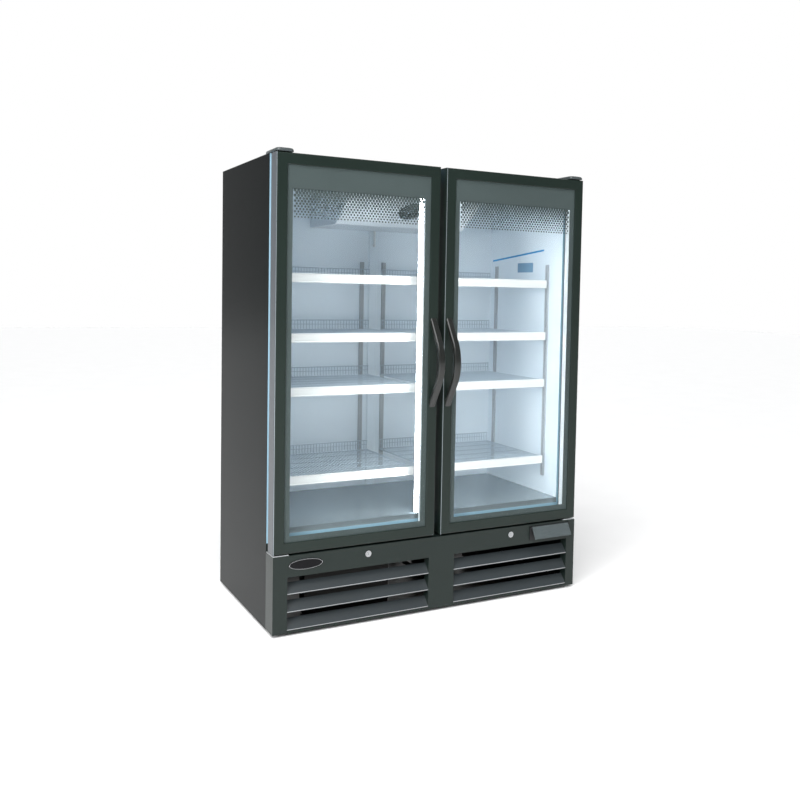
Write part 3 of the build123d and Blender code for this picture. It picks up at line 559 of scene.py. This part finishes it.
def wall_marks():
    """The blue load line and a blank label on the right liner wall."""
    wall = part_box("liner_panels")[1].x - SKIN - MARK_GAP
    (y_front, y_back), (z_front, z_back) = LOAD_LINE_Y, LOAD_LINE_Z
    base = [(wall, FACE + y_front, z_front), (wall, FACE + y_back, z_back),
            (wall, FACE + y_back, z_back + LOAD_LINE_W), (wall, FACE + y_front, z_front + LOAD_LINE_W)]
    line = Builder()
    line.loops([base, [(x + MARK_T, y, z) for x, y, z in base]])
    line.piece("load_line", "cabinet", LEVEL)
    label = Builder()
    label.cuboid((wall, FACE + LABEL_Y[0], LABEL_Z[0]), (wall + MARK_T, FACE + LABEL_Y[1], LABEL_Z[1]))
    label.piece("blank_wall_label", "cabinet", LABEL)


def controller_window():
    """The dark display window in the controller's face."""
    low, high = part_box("controller_body")
    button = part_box("controller_button_1")
    x, z = (low.x + high.x) / 2, (button[0].z + button[1].z) / 2
    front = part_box("grille_panel")[0].y
    window = Builder()
    window.cuboid((x + DISPLAY_X[0], front + DISPLAY_Y[0], z - DISPLAY_HALF_H),
                  (x + DISPLAY_X[1], front + DISPLAY_Y[1], z + DISPLAY_HALF_H))
    window.piece("controller_display", "cabinet", DISPLAY)


def floor_liner():
    """The glossy grey liner of the inner floor, folded down over the sill."""
    low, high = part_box("liner_panels")
    x0, x1, z = low.x + SKIN, high.x - SKIN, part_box("center_mullion")[0].z
    sheet = Builder()
    sheet.cuboid((x0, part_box("face_frame")[1].y, z + FLOOR_RISE[0]), (x1, high.y - SKIN, z + FLOOR_RISE[1]))
    sheet.piece("inner_floor_liner", "cabinet", FLOOR_LINER)
    sill = Builder()
    sill.cuboid((x0, FACE - SILL_PROUD, z - SILL_FOLD), (x1, FACE, z + FLOOR_RISE[1]))
    sill.piece("sill_fold", "cabinet", FLOOR_LINER)


def sill_apron():
    """The dark sheet that closes the gap between the face frame and the top of the grille."""
    low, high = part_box("face_frame")
    grille_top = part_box("grille_panel")[1].z
    apron = Builder()
    apron.cuboid((low.x, FACE + APRON_BACK, grille_top - APRON_LAP),
                 (high.x, FACE + APRON_BACK + APRON_T, low.z))
    apron.piece("sill_apron", "cabinet", GRILLE)


def louvre_painted_highlights():
    """A rounded bead along the lower front edge of each slat, in a light colour that is a painted highlight.
    """
    low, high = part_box("grille_slats")
    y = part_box("grille_panel")[0].y + LIP_R + LIP_BACK
    lips = Builder()
    for x0, x1 in ((low.x, CENTER_BAR[0]), (CENTER_BAR[1], high.x)):
        for row in range(SLAT_ROWS):
            z = low.z + VENT_H / SLAT_ROWS * row + LIP_R
            lips.prism_x([(y + LIP_R * math.sin(t), z + LIP_R * math.cos(t)) for t in circle(LIP_SIDES)],
                         x0, x1)
    lips.piece("louvre_painted_highlights", "cabinet", LOUVRE_HIGHLIGHT, smooth=True)


def painted_edge_highlights():
    """Fine light-coloured rods as painted highlights: on the grille panel's top and left edges and each
    door's left front edge.
    """
    low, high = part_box("grille_panel")
    bead = Builder()
    x, y, z, radius = low.x + PANEL_BEAD_R, low.y + PANEL_BEAD_R, high.z - PANEL_BEAD_R, PANEL_BEAD_R
    bead.rod((low.x, y, z), (high.x, y, z), radius)
    bead.rod((x, y, low.z), (x, y, high.z), radius)
    bead.piece("grille_edge_highlight", "cabinet", EDGE_HIGHLIGHT, smooth=True)
    for side in SIDES:
        low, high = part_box(f"{side}_door_frame")
        bead = Builder()
        x, y = low.x + DOOR_BEAD_INSET, low.y + DOOR_BEAD_INSET
        bead.rod((x, y, low.z), (x, y, high.z), DOOR_BEAD_R)
        bead.piece(f"{side}_door_edge_highlight", f"{side}_door", EDGE_HIGHLIGHT, smooth=True)


def corner_caps():
    """Low pillow-shaped caps over the top hinges."""
    low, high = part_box("hinge_covers")
    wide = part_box("hinge_brackets")[1].x
    caps = Builder()
    for sign in (-1, 1):
        x0, x1 = sorted((sign * high.x, sign * (wide - CAP_W)))
        caps.loops([rounded(x0 + inset, x1 - inset, low.y + inset, high.y - inset, CAP_CORNER,
                            low.z + (high.z - low.z) * share) for inset, share in CAP_STEPS])
    caps.piece("corner_caps", "cabinet", CAP, smooth=True, hides=("hinge_covers",))


badge_rim()
wall_marks()
controller_window()
floor_liner()
sill_apron()
louvre_painted_highlights()
painted_edge_highlights()
corner_caps()


# ---- studio --------------------------------------------------------------------------------------------
FLOOR_HALF = 30.0
BACKDROP_AZ = math.radians(28.8)    # the pale backdrop's direction, from +Y towards +X
BACKDROP_FADE = (0.70, 0.84)        # cosines of the angles from there at which it fades out
ROOM, BACKDROP = (0.15, 0.155, 0.16, 1), (1, 1, 1, 1)
SUN_POWER, SUN_ANGLE, SUN_AIM = 3.4, math.radians(50), (0.35, 0.55, -1.0)
LAMPS = (                           # name, place, target, size and power
    ("key", (-2.2, -5.0, 3.6), (0, 0, 1.0), (2.5, 1.5), 90),
    ("fill", (-4.5, -2.9, 1.9), (0.72, 0.1, 1.2), (2.0, 1.5), 210),
    ("side", (-4.5, 1.0, 0.6), (-0.8, 0.2, 0.3), (2.5, 0.8), 2),
)
VIEW_AZ, VIEW_EL, VIEW_ROLL = math.radians(-28.8), math.radians(3.0), math.radians(1.1)
VIEW_PLACE = Vector((-1.9262, -3.545 + FACE, 1.4247))
SENSOR_MM, LENS_MM = 36.0, 40.22
LENS_SHIFT = (-0.045, -0.074)


def aim(thing, direction):
    thing.rotation_euler = Vector(direction).to_track_quat("-Z", "Y").to_euler()


def studio_floor():
    size = FLOOR_HALF
    mesh = bpy.data.meshes.new("studio_floor")
    mesh.from_pydata([(-size, -size, 0), (size, -size, 0), (size, size, 0), (-size, size, 0)], [],
                     [(0, 1, 2, 3)])
    plane = new_object("studio_floor", mesh)
    mesh.materials.append(surface("pale_floor", (0.92, 0.92, 0.92), rough=0.6, grain=8, vary=0.01, bump=0.02))


def backdrop():
    """A dim room with a pale backdrop behind the cabinet, as seen from the camera."""
    world = bpy.data.worlds.new("studio_world")
    bpy.context.scene.world = world
    world.use_nodes = True
    tree = world.node_tree
    sky = tree.nodes["Background"]
    coords = tree.nodes.new("ShaderNodeTexCoord")
    facing = tree.nodes.new("ShaderNodeVectorMath")
    facing.operation = "DOT_PRODUCT"
    facing.inputs[1].default_value = (math.sin(BACKDROP_AZ), math.cos(BACKDROP_AZ), 0.0)
    tree.links.new(coords.outputs["Generated"], facing.inputs[0])
    ramp = tree.nodes.new("ShaderNodeValToRGB")
    for element, position, color in zip(ramp.color_ramp.elements, BACKDROP_FADE, (ROOM, BACKDROP)):
        element.position = position
        element.color = color
    tree.links.new(facing.outputs["Value"], ramp.inputs["Fac"])
    tree.links.new(ramp.outputs["Color"], sky.inputs["Color"])
    sky.inputs["Strength"].default_value = 1.0


def lights():
    """A soft sun and three area lamps that the glass doesn't mirror."""
    sun = bpy.data.lights.new("sun", "SUN")
    sun.energy = SUN_POWER
    sun.angle = SUN_ANGLE
    aim(new_object("sun", sun), SUN_AIM)
    for name, place, target, size, power in LAMPS:
        light = bpy.data.lights.new(name, "AREA")
        light.shape = "RECTANGLE"
        light.size, light.size_y = size
        light.energy = power
        thing = new_object(name, light)
        thing.location = place
        thing.visible_glossy = False
        aim(thing, Vector(target) - Vector(place))


def camera():
    """The viewpoint: 1.42 m above the floor, to the left of the doors."""
    back = Vector((math.sin(VIEW_AZ) * math.cos(VIEW_EL), -math.cos(VIEW_AZ) * math.cos(VIEW_EL),
                   math.sin(VIEW_EL)))
    forward = -back
    right = forward.cross(Vector((0, 0, 1))).normalized()
    up = right.cross(forward)
    image_right = right * math.cos(VIEW_ROLL) + up * math.sin(VIEW_ROLL)
    image_up = up * math.cos(VIEW_ROLL) - right * math.sin(VIEW_ROLL)
    lens = bpy.data.cameras.new("camera")
    lens.sensor_width = SENSOR_MM
    lens.lens = LENS_MM
    lens.shift_x, lens.shift_y = LENS_SHIFT
    thing = new_object("camera", lens)
    rotation = Matrix((image_right, image_up, back)).transposed().to_4x4()
    thing.matrix_world = Matrix.Translation(VIEW_PLACE) @ rotation
    bpy.context.scene.camera = thing


studio_floor()
backdrop()
lights()
camera()
bpy.context.scene.view_settings.view_transform = "Standard"
